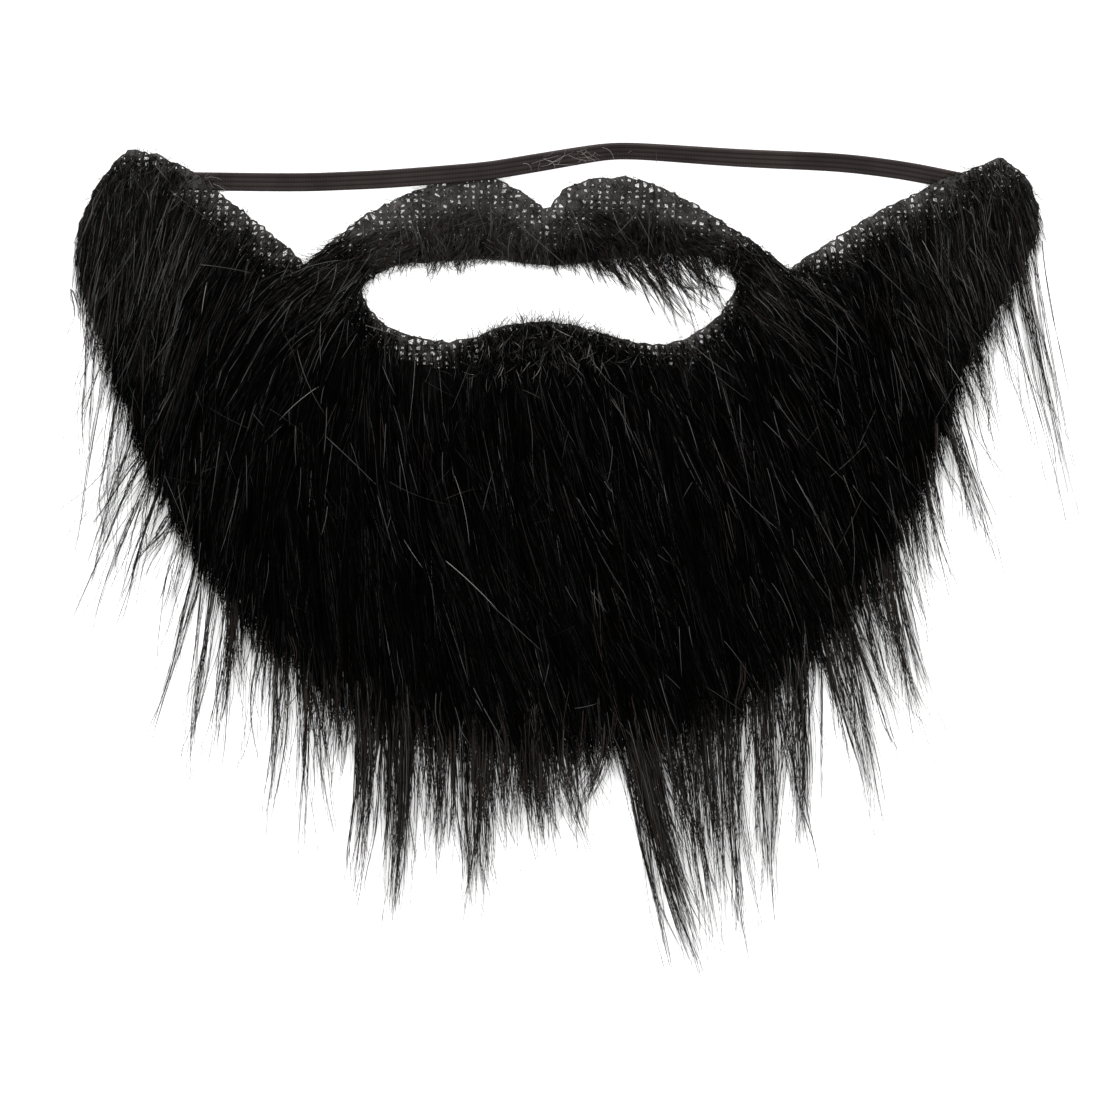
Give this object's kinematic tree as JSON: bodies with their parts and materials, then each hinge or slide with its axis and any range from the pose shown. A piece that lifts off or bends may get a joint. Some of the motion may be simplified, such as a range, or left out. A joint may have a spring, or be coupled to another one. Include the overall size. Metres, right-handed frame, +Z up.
{
  "type": "fake beard",
  "caption": "Fake beard and moustache of black long-pile fur cloth with a mouth opening and an elastic strap, lying flat with its pile up.",
  "frame": {"origin": "on the underside of the knitted backing, on the middle of the chin just below the mouth opening", "axes": "+Z up, out of the backing and through the pile; +X to the right as seen from above, along the beard's width; +Y from the chin towards the strap"},
  "size_m": [0.2523, 0.2177, 0.0155],
  "materials": {
    "knit": "black warp-knit mesh, matt",
    "pile": "black synthetic fibre, slightly glossy",
    "elastic": "black ribbed elastic, matt"
  },
  "bodies": {
    "root": {"knit_backing": "knit", "beard_fur": "pile", "moustache_fur": "pile", "elastic_strap": "elastic"}
  },
  "joints": []
}
